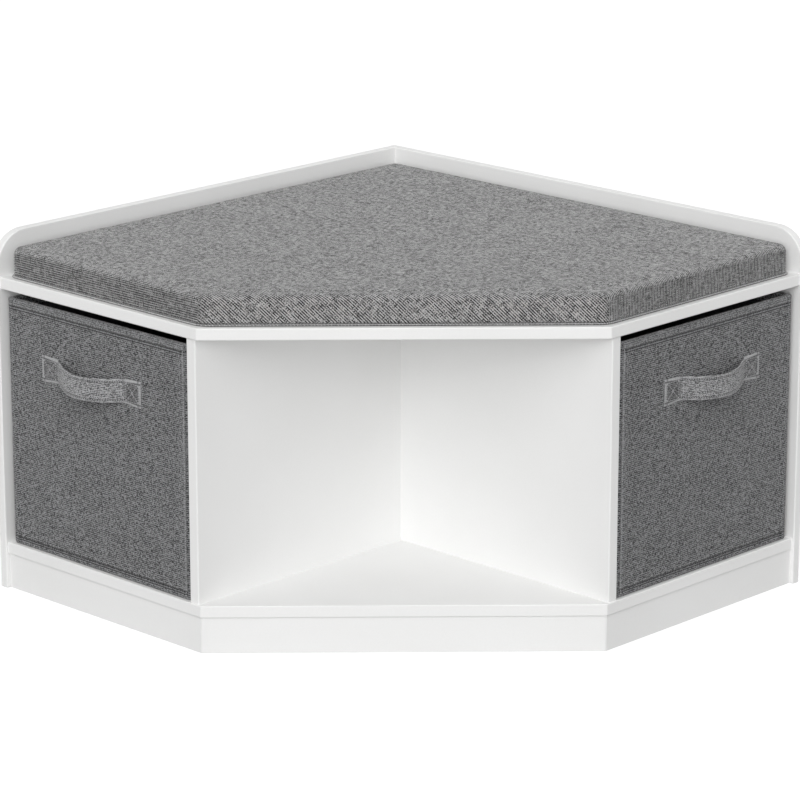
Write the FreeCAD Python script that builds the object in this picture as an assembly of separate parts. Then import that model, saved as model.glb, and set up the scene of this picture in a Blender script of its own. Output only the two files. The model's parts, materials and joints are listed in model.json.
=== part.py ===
import FreeCAD, Part
import math
import os

from FreeCAD import Vector

# Corner storage bench, millimetres, +Z up. The origin is the room corner at floor level:
# the right back panel's outer face lies on y = 0 and the left one's on x = 0,
# and the bench fills x from 0 to leg and y from -leg to 0.

# Carcass
leg = 711.0                  # wall length of each side
height = 457.0               # top of the back panels
back_thick = 12.0
board_thick = 15.0
seat_top = 402.0
kick_height = 45.0
back_corner_radius = 45.0    # rounded upper front corner of each back panel
front_sum = 1072.0           # the seat's diagonal front lies on x - y = front_sum
board_setback = 3.5          # seat and bottom board, behind the back panels' front edges
divider_setback = 6.0
kick_setback = 5.5
divider_face = 359.5         # distance of the cubby's two walls from the room walls
board_corner_radius = 3.0    # where the boards' straight and diagonal fronts meet
arris = 1.6                  # rounded edges of the boards
low_arris = 1.2              # of the bottom board
fine_arris = 0.7             # edges that only show as a joint line
rail_gap = 5.0               # support rail to kick board

# Cushion
cushion_thick = 38.0
cushion_side_gap = 8.0       # to the back panels
cushion_front_inset = 9.0    # behind the seat board's front edges
cushion_corner_radius = 14.0
cushion_top_radius = 9.0
cushion_bottom_radius = 4.0
cover_thick = 1.2
zip_start = -80.0            # along the cushion's left rear side
zip_end = -640.0
zip_width = 12.0
zip_tape_thick = 0.8
zip_teeth_width = 4.0
zip_teeth_height = 1.2
zip_teeth_inset = 4.0        # from each end of the tape
slider_inset = 16.0          # closed slider's middle from the end of the tape
slider_gap = 0.3
slider_length = 12.0
slider_width = 9.0
slider_depth = 3.0
slider_tab_width = 5.0
slider_tab_thick = 0.8
slider_tab_length = 13.0

# Fabric bins
bin_width = 322.0
bin_depth = 322.0
bin_height = 317.5
bin_wall_gap = 7.5           # between a bin and the back panel beside it
bin_setback = 8.0            # bin front behind the back panels' front edges
bin_corner_radius = 3.0
bin_cover = 1.0              # outer fabric
bin_board = 3.0              # stiffening board
bin_board_radius = 2.0
bin_lining = 0.8
bin_hem = 16.0               # fabric folded over the rim and down inside
insert_thick = 3.5
insert_gap = 1.0
insert_corner_radius = 3.0
strap_width = 30.0
strap_thick = 2.4
strap_middle = 173.25        # from the room wall
strap_free = 120.5           # loose stretch between the two sewn ends
strap_end = 29.0             # length of each sewn end
strap_centre_height = 300.0
strap_bow = 19.0             # outward, at the middle of the loose stretch
strap_droop = 5.0
strap_sections = 11

# Fasteners
fit_gap = 0.1                # radial room around a fastener in its hole
screw_head_r = 5.0
screw_head_height = 3.2
screw_shank_r = 3.5
screw_shank_end = 12.0
screw_core_r = 2.6
screw_length = 50.0
screw_point_length = 3.0
screw_point_r = 0.3
screw_socket_r = 2.3
screw_socket_depth = 3.0
cam_r = 7.4
cam_length = 12.0
cam_sunk = 0.2               # below the divider's face
cam_drop = 34.0              # cam's axis below the seat board
cam_slot_r = 4.0
cam_cross_length = 7.0
cam_cross_width = 1.4
cam_cross_depth = 2.0
bolt_ball_r = 3.3
bolt_neck_r = 1.9
bolt_rod_r = 3.0
bolt_rod_end = 35.5          # where the rod meets the seat board
bolt_thread_r = 3.5
bolt_length = 45.0
bolt_hole_depth = 10.0       # in the seat board
cap_r = 8.5
cap_thick = 0.6
cap_edge_radius = 0.4
dowel_r = 4.0
dowel_in_board = 9.5
dowel_in_divider = 20.0
dowel_chamfer = 1.0
block_size = 16.0
block_length = 34.0
block_edge_radius = 2.0
block_screw_step = 8.0       # each way from the block's middle
block_screw_r = 1.75
block_screw_length = 25.0
corner_screw_r = 2.0
corner_screw_length = 45.0

# Derived places
bottom_top = kick_height + board_thick
seat_bottom = seat_top - board_thick
divider_back = divider_face - board_thick
divider_middle = divider_face - board_thick / 2
divider_mid_height = (bottom_top + seat_bottom) / 2
board_front = leg - board_setback
divider_front = leg - divider_setback
kick_front = leg - kick_setback
kick_sum = front_sum - (kick_setback - board_setback) * math.sqrt(2)
bin_front = leg - bin_setback

mirror_normal = Vector(1, 1, 0)
os.makedirs("parts", exist_ok=True)


def mirrored(shape):
    """The same shape on the other side of the bench: (x, y) becomes (-y, -x)."""
    return shape.mirror(Vector(0, 0, 0), mirror_normal)


def box(x0, x1, y0, y1, z0, z1):
    return Part.makeBox(x1 - x0, y1 - y0, z1 - z0, Vector(x0, y0, z0))


def prism(points, z0, z1):
    """A flat-sided solid on a plan outline given as (x, y) points."""
    corners = [Vector(x, y, z0) for x, y in points]
    wire = Part.makePolygon(corners + corners[:1])
    return Part.Face(wire).extrude(Vector(0, 0, z1 - z0))


def cylinder(radius, length, start, direction):
    return Part.makeCylinder(radius, length, start, direction)


def rounded(shape, radius, wanted):
    """Fillets the edges whose middle point satisfies wanted."""
    edges = [edge for edge in shape.Edges if wanted(edge_middle(edge))]
    return shape.makeFillet(radius, edges)


def edge_middle(edge):
    return edge.valueAt((edge.FirstParameter + edge.LastParameter) / 2)


def near(a, b):
    return abs(a - b) < 0.01


def revolved(profile):
    """A turned piece about +Z from (radius, z) points."""
    points = [Vector(r, 0, z) for r, z in profile]
    wire = Part.makePolygon(points + points[:1])
    return Part.Face(wire).revolve(Vector(0, 0, 0), Vector(0, 0, 1), 360)


def placed(shape, start, direction):
    """Moves a piece that runs along +Z so that it starts at start and runs along direction."""
    copy = shape.copy()
    copy.Placement = FreeCAD.Placement(start, FreeCAD.Rotation(Vector(0, 0, 1), direction))
    return copy


def export(name, solids):
    shape = solids[0] if len(solids) == 1 else Part.makeCompound(solids)
    if not shape.isValid():
        raise ValueError(name + " is not a valid shape")
    shape.exportStep("parts/" + name + ".step")
    print(name, len(shape.Solids), "solids,", round(shape.Volume / 1000, 1), "cm3")


# Fasteners, each running along +Z from its head
def panel_screw(extra=0.0):
    head = screw_head_r + extra
    shank = screw_shank_r + extra
    core = screw_core_r + extra
    end = screw_length + extra
    return revolved([(0, 0), (head, 0), (shank, screw_head_height), (shank, screw_shank_end),
                     (core, screw_shank_end + 1), (core, end - screw_point_length),
                     (screw_point_r, end), (0, end)])


def hex_socket(radius, depth):
    angles = [math.radians(60 * i) for i in range(6)]
    return prism([(radius * math.cos(a), radius * math.sin(a)) for a in angles], -0.1, depth)


def panel_screw_with_socket():
    return panel_screw().cut(hex_socket(screw_socket_r, screw_socket_depth))


def small_screw(radius, length, extra=0.0):
    head = 2 * radius + extra
    shank = radius + extra
    end = length + extra
    return revolved([(0, 0), (head, 0), (shank, radius), (shank, end - 2 * radius), (0.2, end), (0, end)])


def dowel(extra=0.0):
    length = dowel_in_board + dowel_in_divider
    r = dowel_r + extra
    low = -extra
    high = length + extra
    return revolved([(0, low), (r - dowel_chamfer, low), (r, low + dowel_chamfer), (r, high - dowel_chamfer),
                     (r - dowel_chamfer, high), (0, high)])


def cam_bolt():
    """Screws into the seat board at its upper end; its ball end hangs in the cam."""
    ball = [(0, 0), (bolt_ball_r - 0.7, 0), (bolt_ball_r, 1), (bolt_ball_r, 2.6)]
    neck = [(bolt_neck_r, 3.8), (bolt_neck_r, 6.5)]
    rod = [(bolt_rod_r, 7.5), (bolt_rod_r, bolt_rod_end - 1)]
    thread = [(bolt_thread_r, bolt_rod_end), (bolt_thread_r, bolt_length - 0.5),
              (bolt_thread_r - 0.7, bolt_length), (0, bolt_length)]
    return revolved(ball + neck + rod + thread)


cam_bolt_start = seat_bottom - bolt_rod_end    # lower end of the bolt


# Where the fasteners go. A seat joint is a plan point on a divider and the side its cam opens to.
def along_left_divider(y):
    return Vector(divider_middle, y, 0)


def along_right_divider(x):
    return Vector(x, -divider_middle, 0)


to_left, to_wall = Vector(-1, 0, 0), Vector(0, 1, 0)
cam_joints = [(along_left_divider(-650), to_left), (along_left_divider(-170), to_left),
              (along_right_divider(650), to_wall), (along_right_divider(420), to_wall),
              (along_right_divider(300), to_wall), (along_right_divider(60), to_wall)]
dowel_points = [along_left_divider(y) for y in (-600, -220)]
dowel_points += [along_right_divider(x) for x in (600, 470, 250, 110)]
base_screw_points = [along_left_divider(y) for y in (-650, -170)]
base_screw_points += [along_right_divider(x) for x in (650, 420, 300, 60)]
seat_screw_places = (90, 400, 640)
divider_screw_heights = (140, 300)
corner_screw_heights = (90, 230, 370)
kick_block_sides = (90, 270)           # along the left and right kick boards
kick_block_centres = (-130, 130)       # along the centre one, from its middle


def raised(point, z):
    return Vector(point.x, point.y, z)


def wall_screw_places():
    """Start and direction of every screw that goes through a back panel."""
    places = []
    for middle in (seat_top - board_thick / 2, kick_height + board_thick / 2):
        for along in seat_screw_places:
            places.append((Vector(along, 0, middle), Vector(0, -1, 0)))
            places.append((Vector(0, -along, middle), Vector(1, 0, 0)))
    for z in divider_screw_heights:
        places.append((Vector(divider_middle, 0, z), Vector(0, -1, 0)))
        places.append((Vector(0, -divider_middle, z), Vector(1, 0, 0)))
    return places


def corner_screw_places():
    return [(Vector(back_thick / 2, 0, z), Vector(0, -1, 0)) for z in corner_screw_heights]


def kick_block_places():
    """Middle of each block on the kick board's inner face, and the directions into the board and along it."""
    inner = kick_front - board_thick
    places = []
    for x in kick_block_sides:
        places.append((Vector(x, -inner, 0), Vector(0, -1, 0)))
        places.append((Vector(inner, -x, 0), Vector(1, 0, 0)))
    outward = Vector(1, -1, 0).normalize()
    along = Vector(1, 1, 0).normalize()
    reach = kick_sum / math.sqrt(2) - board_thick
    for step in kick_block_centres:
        places.append((outward * reach + along * step, outward))
    return places


def kick_block(place, outward):
    """A plastic block in the angle between a kick board and the bottom board."""
    along = Vector(0, 0, 1).cross(outward)
    half = block_length / 2
    corners = [place - along * half, place + along * half,
               place + along * half - outward * block_size, place - along * half - outward * block_size]
    solid = prism([(p.x, p.y) for p in corners], kick_height - block_size, kick_height)
    return rounded(solid, block_edge_radius, lambda p: near(p.z, kick_height - block_size)
                   and near((p - place).dot(outward), -block_size))


def kick_block_screws(place, outward, extra=0.0):
    """One screw up into the bottom board and one out into the kick board."""
    along = Vector(0, 0, 1).cross(outward)
    middle = kick_height - block_size / 2
    up_start = raised(place - outward * block_size / 2 - along * block_screw_step, kick_height - block_size)
    out_start = raised(place - outward * block_size + along * block_screw_step, middle)
    screw = small_screw(block_screw_r, block_screw_length, extra)
    return [placed(screw, up_start, Vector(0, 0, 1)), placed(screw, out_start, outward)]


# Boards of the carcass
def back_panel_right():
    r = back_corner_radius
    top, end = height, leg
    middle = Vector(end - r + r * math.sin(math.pi / 4), 0, top - r + r * math.cos(math.pi / 4))
    edges = [Part.LineSegment(Vector(0, 0, 0), Vector(end, 0, 0)),
             Part.LineSegment(Vector(end, 0, 0), Vector(end, 0, top - r)),
             Part.Arc(Vector(end, 0, top - r), middle, Vector(end - r, 0, top)),
             Part.LineSegment(Vector(end - r, 0, top), Vector(0, 0, top)),
             Part.LineSegment(Vector(0, 0, top), Vector(0, 0, 0))]
    outline = Part.Wire([edge.toShape() for edge in edges])
    panel = Part.Face(outline).extrude(Vector(0, -back_thick, 0))
    faces = (0.0, -back_thick)

    def shows(p):
        on_face = near(p.y, faces[0]) or near(p.y, faces[1])
        return on_face and (p.z > top - r + 0.01 or near(p.x, end))

    return rounded(panel, arris, shows)


def back_panel_left():
    panel = mirrored(back_panel_right())
    return panel.common(box(-1, back_thick + 1, -leg - 1, -back_thick, -1, height + 1))


def board_outline():
    side = front_sum - board_front
    return [(back_thick, -back_thick), (back_thick, -board_front), (side, -board_front),
            (board_front, -side), (board_front, -back_thick)]


def horizontal_board(z0, corner, edge):
    board = prism(board_outline(), z0, z0 + board_thick)
    side = front_sum - board_front
    board = rounded(board, corner, lambda p: near(p.z, z0 + board_thick / 2)
                    and (near(p.x, side) or near(p.y, -side)))

    def on_front(p):
        on_rim = near(p.z, z0) or near(p.z, z0 + board_thick)
        return on_rim and p.x > back_thick + 0.01 and p.y < -back_thick - 0.01

    return rounded(board, edge, on_front)


def divider_left():
    board = box(divider_back, divider_face, -divider_front, -back_thick, bottom_top, seat_bottom)
    return rounded(board, arris, lambda p: near(p.y, -divider_front) and near(p.z, divider_mid_height))


def divider_right():
    board = box(divider_face, divider_front, -divider_face, -divider_back, bottom_top, seat_bottom)
    return rounded(board, arris, lambda p: near(p.x, divider_front) and near(p.z, divider_mid_height))


def rear_stop_panel():
    return box(back_thick, divider_back, -divider_face, -divider_back, bottom_top, seat_bottom)


def kick_corner(depth):
    """The corner where the left and centre kick boards meet, depth behind their outer faces."""
    y = -(kick_front - depth)
    return (kick_sum - depth * math.sqrt(2) + y, y)


def kick_left():
    outer, inner = kick_corner(0), kick_corner(board_thick)
    board = prism([(back_thick, outer[1]), outer, inner, (back_thick, inner[1])], 0, kick_height)
    return rounded(board, fine_arris, lambda p: near(p.y, outer[1]) and p.z > 1)


def kick_centre():
    outer, inner = kick_corner(0), kick_corner(board_thick)
    board = prism([outer, (-outer[1], -outer[0]), (-inner[1], -inner[0]), inner], 0, kick_height)
    return rounded(board, fine_arris, lambda p: near(p.x - p.y, kick_sum) and p.z > 1)


def support_rail():
    """Stands on the floor under the left divider, between the kick boards and the right back panel."""
    front = kick_corner(board_thick)[1] + rail_gap
    return box(divider_back, divider_face, front, -back_thick, 0, kick_height)


def drilled(board, cutters):
    return board.cut(Part.makeCompound(cutters))


wall_screw_holes = [placed(panel_screw(fit_gap), start, way) for start, way in wall_screw_places()]
corner_screw_holes = [placed(small_screw(corner_screw_r, corner_screw_length, fit_gap), start, way)
                      for start, way in corner_screw_places()]
base_screw_holes = [placed(panel_screw(fit_gap), raised(point, kick_height), Vector(0, 0, 1))
                    for point in base_screw_points]
top_dowel_start = seat_bottom - dowel_in_divider
low_dowel_start = bottom_top - dowel_in_board
dowel_holes = []
for point in dowel_points:
    dowel_holes.append(placed(dowel(fit_gap), raised(point, top_dowel_start), Vector(0, 0, 1)))
    dowel_holes.append(placed(dowel(fit_gap), raised(point, low_dowel_start), Vector(0, 0, 1)))
cam_pockets = []
bolt_holes = []
seat_bolt_holes = []
for point, way in cam_joints:
    centre = raised(point, seat_bottom - cam_drop) + way * board_thick / 2
    cam_pockets.append(cylinder(cam_r + fit_gap, cam_length + 0.5, centre, way * -1))
    below = raised(point, seat_bottom - cam_drop - cam_slot_r)
    bolt_holes.append(cylinder(cam_slot_r, cam_drop + cam_slot_r, below, Vector(0, 0, 1)))
    seat_bolt_holes.append(cylinder(bolt_thread_r + fit_gap, bolt_hole_depth, raised(point, seat_bottom),
                                    Vector(0, 0, 1)))
block_screw_holes = []
for place, way in kick_block_places():
    block_screw_holes += kick_block_screws(place, way, fit_gap)

divider_cutters = wall_screw_holes + base_screw_holes + dowel_holes + cam_pockets + bolt_holes
export("back_panel_right", [drilled(back_panel_right(), wall_screw_holes + corner_screw_holes)])
export("back_panel_left", [drilled(back_panel_left(), wall_screw_holes + corner_screw_holes)])
export("seat_board", [drilled(horizontal_board(seat_bottom, board_corner_radius, arris),
                              wall_screw_holes + dowel_holes + seat_bolt_holes)])
export("bottom_board", [drilled(horizontal_board(kick_height, board_corner_radius, low_arris),
                                wall_screw_holes + dowel_holes + base_screw_holes + block_screw_holes)])
export("divider_left", [drilled(divider_left(), divider_cutters)])
export("divider_right", [drilled(divider_right(), divider_cutters)])
export("rear_stop_panel", [drilled(rear_stop_panel(), divider_cutters)])
export("kick_board_left", [drilled(kick_left(), block_screw_holes)])
export("kick_board_right", [drilled(mirrored(kick_left()), block_screw_holes)])
export("kick_board_centre", [drilled(kick_centre(), block_screw_holes)])
export("support_rail", [support_rail()])

# Fasteners of the carcass
blocks = []
block_screws = []
for place, way in kick_block_places():
    blocks.append(drilled(kick_block(place, way), block_screw_holes))
    block_screws += kick_block_screws(place, way)
export("kick_blocks", blocks)
export("kick_block_screws", block_screws)
export("panel_screws", [placed(panel_screw_with_socket(), start, way) for start, way in wall_screw_places()])
export("base_screws", [placed(panel_screw_with_socket(), raised(point, kick_height), Vector(0, 0, 1))
                       for point in base_screw_points])
export("corner_screws", [placed(small_screw(corner_screw_r, corner_screw_length), start, way)
                         for start, way in corner_screw_places()])

dowels = []
for point in dowel_points:
    dowels.append(placed(dowel(), raised(point, top_dowel_start), Vector(0, 0, 1)))
    dowels.append(placed(dowel(), raised(point, low_dowel_start), Vector(0, 0, 1)))
export("dowels", dowels)


def cam_lock(point, way):
    """A disc that turns in the divider and grips the bolt's ball end in a radial slot."""
    face = raised(point, seat_bottom - cam_drop) + way * (board_thick / 2 - cam_sunk)
    disc = cylinder(cam_r, cam_length, face, way * -1)
    slot = cylinder(cam_slot_r, cam_r + cam_slot_r + 1, raised(point, seat_bottom - cam_drop - cam_slot_r),
                    Vector(0, 0, 1))
    across = Vector(0, 0, 1).cross(way)
    cross = []
    for arm in (across, Vector(0, 0, 1)):
        other = across if arm.z else Vector(0, 0, 1)
        start = face - arm * cam_cross_length / 2 - other * cam_cross_width / 2 - way * cam_cross_depth
        end = start + arm * cam_cross_length
        corner = [start, end, end + other * cam_cross_width, start + other * cam_cross_width]
        cross.append(Part.Face(Part.makePolygon(corner + corner[:1])).extrude(way * (cam_cross_depth + 1)))
    return disc.cut(Part.makeCompound([slot] + cross))


export("cam_locks", [cam_lock(point, way) for point, way in cam_joints])
export("cam_bolts", [placed(cam_bolt(), raised(point, cam_bolt_start), Vector(0, 0, 1))
                     for point, way in cam_joints])


def cam_cap(point, way):
    face = raised(point, seat_bottom - cam_drop) + way * board_thick / 2
    cap = cylinder(cap_r, cap_thick, face, way)
    return rounded(cap, cap_edge_radius, lambda p: near((p - face).dot(way), cap_thick))


export("cam_caps", [cam_cap(point, way) for point, way in cam_joints])


# Cushion: a sewn cover around one foam slab, with a zip along its left rear side
def cushion_outline(inset):
    low = back_thick + cushion_side_gap + inset
    front = board_front - cushion_front_inset - inset
    total = front_sum - (cushion_front_inset + inset) * math.sqrt(2)
    side = total - front
    return [(low, -low), (low, -front), (side, -front), (front, -side), (front, -low)]


def cushion_solid(inset):
    z0, z1 = seat_top + inset, seat_top + cushion_thick - inset
    solid = prism(cushion_outline(inset), z0, z1)
    solid = rounded(solid, cushion_corner_radius - inset, lambda p: near(p.z, (z0 + z1) / 2))
    solid = rounded(solid, cushion_top_radius - inset, lambda p: near(p.z, z1))
    return rounded(solid, cushion_bottom_radius - inset, lambda p: near(p.z, z0))


foam = cushion_solid(cover_thick)
cushion_skin = cushion_solid(0).cut(foam)
base_slab = box(0, leg, -leg, 0, seat_top - 1, seat_top + cover_thick)
export("cushion_foam", [foam])
export("cushion_cover", [cushion_skin.cut(base_slab)])
export("cushion_base_cloth", [cushion_skin.common(base_slab)])

zip_face = back_thick + cushion_side_gap
zip_middle = seat_top + cushion_thick / 2
tape = box(zip_face - zip_tape_thick, zip_face, zip_end, zip_start,
           zip_middle - zip_width / 2, zip_middle + zip_width / 2)
teeth = box(zip_face - zip_tape_thick - zip_teeth_height, zip_face - zip_tape_thick,
            zip_end + zip_teeth_inset, zip_start - zip_teeth_inset,
            zip_middle - zip_teeth_width / 2, zip_middle + zip_teeth_width / 2)
export("cushion_zip", [tape.fuse(teeth).removeSplitter()])


def zip_slider():
    """A saddle over the teeth with a flat pull tab that hangs beside it."""
    inner = zip_face - zip_tape_thick - slider_gap
    outer = inner - slider_depth
    y = zip_start - slider_inset
    half_length = slider_length / 2
    half_width = slider_width / 2
    half_channel = zip_teeth_width / 2 + slider_gap
    body = box(outer, inner, y - half_length, y + half_length,
               zip_middle - half_width, zip_middle + half_width)
    channel = box(inner - zip_teeth_height, inner + 1, y - half_length - 1, y + half_length + 1,
                  zip_middle - half_channel, zip_middle + half_channel)
    body = body.cut(channel)
    body = rounded(body, 1.0, lambda p: near(p.x, outer))
    tab_top = zip_middle - half_channel - slider_gap * 2
    tab_outer = outer + slider_gap
    tab = box(tab_outer, tab_outer + slider_tab_thick, y - slider_tab_width / 2, y + slider_tab_width / 2,
              tab_top - slider_tab_length, tab_top)
    return body.fuse(tab).removeSplitter()


export("cushion_zip_slider", [zip_slider()])


# Fabric bins. Every piece is made for the left bin and mirrored for the right one.
bin_x0 = back_thick + bin_wall_gap
bin_x1 = bin_x0 + bin_width
bin_y0 = -bin_front
bin_y1 = bin_y0 + bin_depth


def bin_layer(depth, floor, top):
    """A block inside the bin's outer shape, depth in from its walls."""
    return box(bin_x0 + depth, bin_x1 - depth, bin_y0 + depth, bin_y1 - depth, floor, top)


bin_floor = bottom_top
bin_top = bottom_top + bin_height
board_out = bin_cover
board_in = bin_cover + bin_board
lining_in = board_in + bin_lining
hem_in = lining_in + bin_cover
board_top = bin_top - bin_cover


def bin_cover_shape():
    """Outer fabric: four sides and a bottom, folded over the rim and down inside as a hem."""
    skin = bin_layer(0, bin_floor, bin_top)
    skin = rounded(skin, bin_corner_radius, lambda p: near(p.z, (bin_floor + bin_top) / 2))
    room = bin_layer(board_out, bin_floor + bin_cover, board_top)
    mouth = bin_layer(hem_in, bin_top - bin_hem, bin_top + 1)
    hem_room = bin_layer(lining_in, bin_floor + bin_cover, bin_top - bin_cover)
    hem = bin_layer(lining_in, bin_top - bin_hem, bin_top - bin_cover).cut(mouth)
    shell = skin.cut(room).cut(mouth).cut(hem_room)
    return shell.fuse(hem).removeSplitter()


def bin_lining_shape():
    floor = bin_floor + board_in
    block = bin_layer(board_in, floor, board_top)
    return block.cut(bin_layer(lining_in, floor + bin_lining, board_top + 1))


def bin_boards():
    floor = bin_floor + bin_cover
    wall_foot = floor + bin_board
    corner = rounded(bin_layer(board_out, wall_foot, board_top), bin_board_radius,
                     lambda p: near(p.z, (wall_foot + board_top) / 2))
    front = box(bin_x0, bin_x1, bin_y0, bin_y0 + board_in, wall_foot, board_top).common(corner)
    rear = box(bin_x0, bin_x1, bin_y1 - board_in, bin_y1, wall_foot, board_top).common(corner)
    y0, y1 = bin_y0 + board_in, bin_y1 - board_in
    side = box(bin_x0 + board_out, bin_x0 + board_in, y0, y1, wall_foot, board_top)
    far_side = box(bin_x1 - board_in, bin_x1 - board_out, y0, y1, wall_foot, board_top)
    base = rounded(bin_layer(board_out, floor, wall_foot), bin_board_radius,
                   lambda p: near(p.z, (floor + wall_foot) / 2))
    return {"front_board": front, "rear_board": rear, "wall_side_board": side,
            "divider_side_board": far_side, "base_board": base}


def bin_insert():
    floor = bin_floor + lining_in
    plate = bin_layer(lining_in + insert_gap, floor, floor + insert_thick)
    return rounded(plate, insert_corner_radius, lambda p: near(p.z, floor + insert_thick / 2))


def strap_offset(u):
    """How far the loose strap stands out from the bin's face and hangs down, u from 0 to 1 along it."""
    out = strap_bow * max(0.0, math.sin(math.pi * u ** 0.85)) ** 1.3
    down = strap_droop * math.sin(math.pi * u)
    return out, down


def strap_section(u):
    start = strap_middle - strap_free / 2
    step = 0.01
    out, down = strap_offset(u)
    before = strap_offset(max(0.0, u - step))[0]
    after = strap_offset(min(1.0, u + step))[0]
    along = Vector((min(1.0, u + step) - max(0.0, u - step)) * strap_free, -(after - before), 0).normalize()
    if u == 0 or u == 1:
        along = Vector(1, 0, 0)
    across = Vector(along.y, -along.x, 0) * (strap_thick / 2)
    centre = Vector(start + u * strap_free, -bin_front - strap_thick / 2 - out, strap_centre_height - down)
    up = Vector(0, 0, strap_width / 2)
    corners = [centre - across - up, centre + across - up, centre + across + up, centre - across + up]
    return Part.makePolygon(corners + corners[:1])


def bin_handle():
    """A fabric strap sewn down flat at both ends, with its middle standing off the face for the fingers."""
    sections = [strap_section(i / (strap_sections - 1)) for i in range(strap_sections)]
    loose = Part.makeLoft(sections, True, False)
    half = strap_free / 2
    z0 = strap_centre_height - strap_width / 2
    z1 = strap_centre_height + strap_width / 2
    y0, y1 = -bin_front - strap_thick, -bin_front
    ends = [box(strap_middle - half - strap_end, strap_middle - half, y0, y1, z0, z1),
            box(strap_middle + half, strap_middle + half + strap_end, y0, y1, z0, z1)]
    return loose.fuse(ends).removeSplitter()


bin_pieces = {"cover": bin_cover_shape(), "lining": bin_lining_shape(), "base_insert": bin_insert(),
              "handle": bin_handle()}
bin_pieces.update(bin_boards())
for piece, shape in bin_pieces.items():
    export("bin_left_" + piece, [shape])
    export("bin_right_" + piece, [mirrored(shape)])
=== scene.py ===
import json
import math
import random

import bmesh
import bpy
from mathutils import Matrix, Vector, noise
from mathutils.bvhtree import BVHTree

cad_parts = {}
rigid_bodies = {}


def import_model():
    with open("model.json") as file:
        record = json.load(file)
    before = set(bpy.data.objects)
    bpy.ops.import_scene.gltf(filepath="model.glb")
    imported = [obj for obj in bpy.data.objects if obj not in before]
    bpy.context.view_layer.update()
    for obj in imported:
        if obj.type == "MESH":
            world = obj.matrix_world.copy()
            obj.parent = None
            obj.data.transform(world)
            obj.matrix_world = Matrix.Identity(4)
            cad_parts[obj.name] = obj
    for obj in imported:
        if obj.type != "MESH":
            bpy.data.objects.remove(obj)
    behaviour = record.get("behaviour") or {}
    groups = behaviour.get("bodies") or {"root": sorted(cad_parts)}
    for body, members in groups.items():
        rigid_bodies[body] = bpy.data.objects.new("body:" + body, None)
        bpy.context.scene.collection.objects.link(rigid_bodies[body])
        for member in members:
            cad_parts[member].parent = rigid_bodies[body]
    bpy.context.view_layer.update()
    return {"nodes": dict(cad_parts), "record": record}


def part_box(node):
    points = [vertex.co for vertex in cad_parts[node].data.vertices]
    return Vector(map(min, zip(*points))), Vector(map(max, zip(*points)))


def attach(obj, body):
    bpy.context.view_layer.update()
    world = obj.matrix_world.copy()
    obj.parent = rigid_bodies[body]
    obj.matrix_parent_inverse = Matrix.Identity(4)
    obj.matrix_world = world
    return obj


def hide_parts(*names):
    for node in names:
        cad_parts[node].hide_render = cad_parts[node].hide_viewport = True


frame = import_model()
nodes = frame["nodes"]
random.seed(11)
mm = 0.001
scene = bpy.context.scene
print("frame loaded with", len(nodes), "nodes")


# Camera, lights and floor
camera = {
    "target": (0.2844, -0.2844, 0.230),
    "azimuth": 44.10,  # degrees from looking along +Y
    "elevation": 16.05,
    "distance": 4.752,
    "sideways": 0.00093,
    "upwards": -0.01716,
    "lens": 168.4,  # mm, on a 36 mm sensor
}

studio = {
    "skyStrength": 0.45,
    "floorTone": 0.42,  # what the floor throws back on the bench
    "floorShadow": 0.42,  # how much of the shadow the camera sees
    "floorGlow": 0.75,
    "floorSize": 40,
    "floorDrop": 0.3 * mm,  # keeps it clear of the boards' feet
    "suns": (  # azimuth, elevation, strength, softness in degrees
        (37.5, 12.0, 1.42, 45.0),
        (37.5, 45.0, 1.04, 45.0),
        (205.0, 30.0, 0.26, 60.0),
    ),
}


def newObject(name, data):
    made = bpy.data.objects.new(name, data)
    scene.collection.objects.link(made)
    return made


def meshFrom(name, shape):
    mesh = bpy.data.meshes.new(name)
    shape.to_mesh(mesh)
    shape.free()
    return mesh


def fromAround(azimuth, elevation):
    a = math.radians(azimuth)
    e = math.radians(elevation)
    return Vector((math.sin(a) * math.cos(e), -math.cos(a) * math.cos(e), math.sin(e)))


def makeCamera():
    back = fromAround(camera["azimuth"], camera["elevation"])
    a = math.radians(camera["azimuth"])
    right = Vector((math.cos(a), math.sin(a), 0))
    above = back.cross(right)
    data = bpy.data.cameras.new("camera")
    data.sensor_width = 36
    data.lens = camera["lens"]
    data.clip_start = 0.1
    data.clip_end = 100
    eye = newObject("camera", data)
    eye.location = Vector(camera["target"]) + back * camera["distance"]
    eye.location += right * camera["sideways"] + above * camera["upwards"]
    eye.rotation_mode = "QUATERNION"
    eye.rotation_quaternion = Matrix((right, above, back)).transposed().to_quaternion()
    scene.camera = eye


def makeSuns():
    for i, (azimuth, elevation, strength, softness) in enumerate(studio["suns"]):
        data = bpy.data.lights.new("sun" + str(i), "SUN")
        data.energy = strength
        data.angle = math.radians(softness)
        sun = newObject("sun" + str(i), data)
        sun.rotation_mode = "QUATERNION"
        sun.rotation_quaternion = fromAround(azimuth, elevation).to_track_quat("Z", "Y")


# Shader nodes written as sums
class Reading:  # one socket; sums on it add Math nodes
    def __init__(self, finish, socket):
        self.finish = finish
        self.socket = socket

    def __add__(self, other):
        return self.finish.sum("ADD", self, other)

    def __sub__(self, other):
        return self.finish.sum("SUBTRACT", self, other)

    def __rsub__(self, other):
        return self.finish.sum("SUBTRACT", other, self)

    def __mul__(self, other):
        return self.finish.sum("MULTIPLY", self, other)

    def __truediv__(self, other):
        return self.finish.sum("DIVIDE", self, other)

    def __pow__(self, other):
        return self.finish.sum("POWER", self, other)

    def __abs__(self):
        return self.finish.sum("ABSOLUTE", self)

    __radd__ = __add__
    __rmul__ = __mul__


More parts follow.
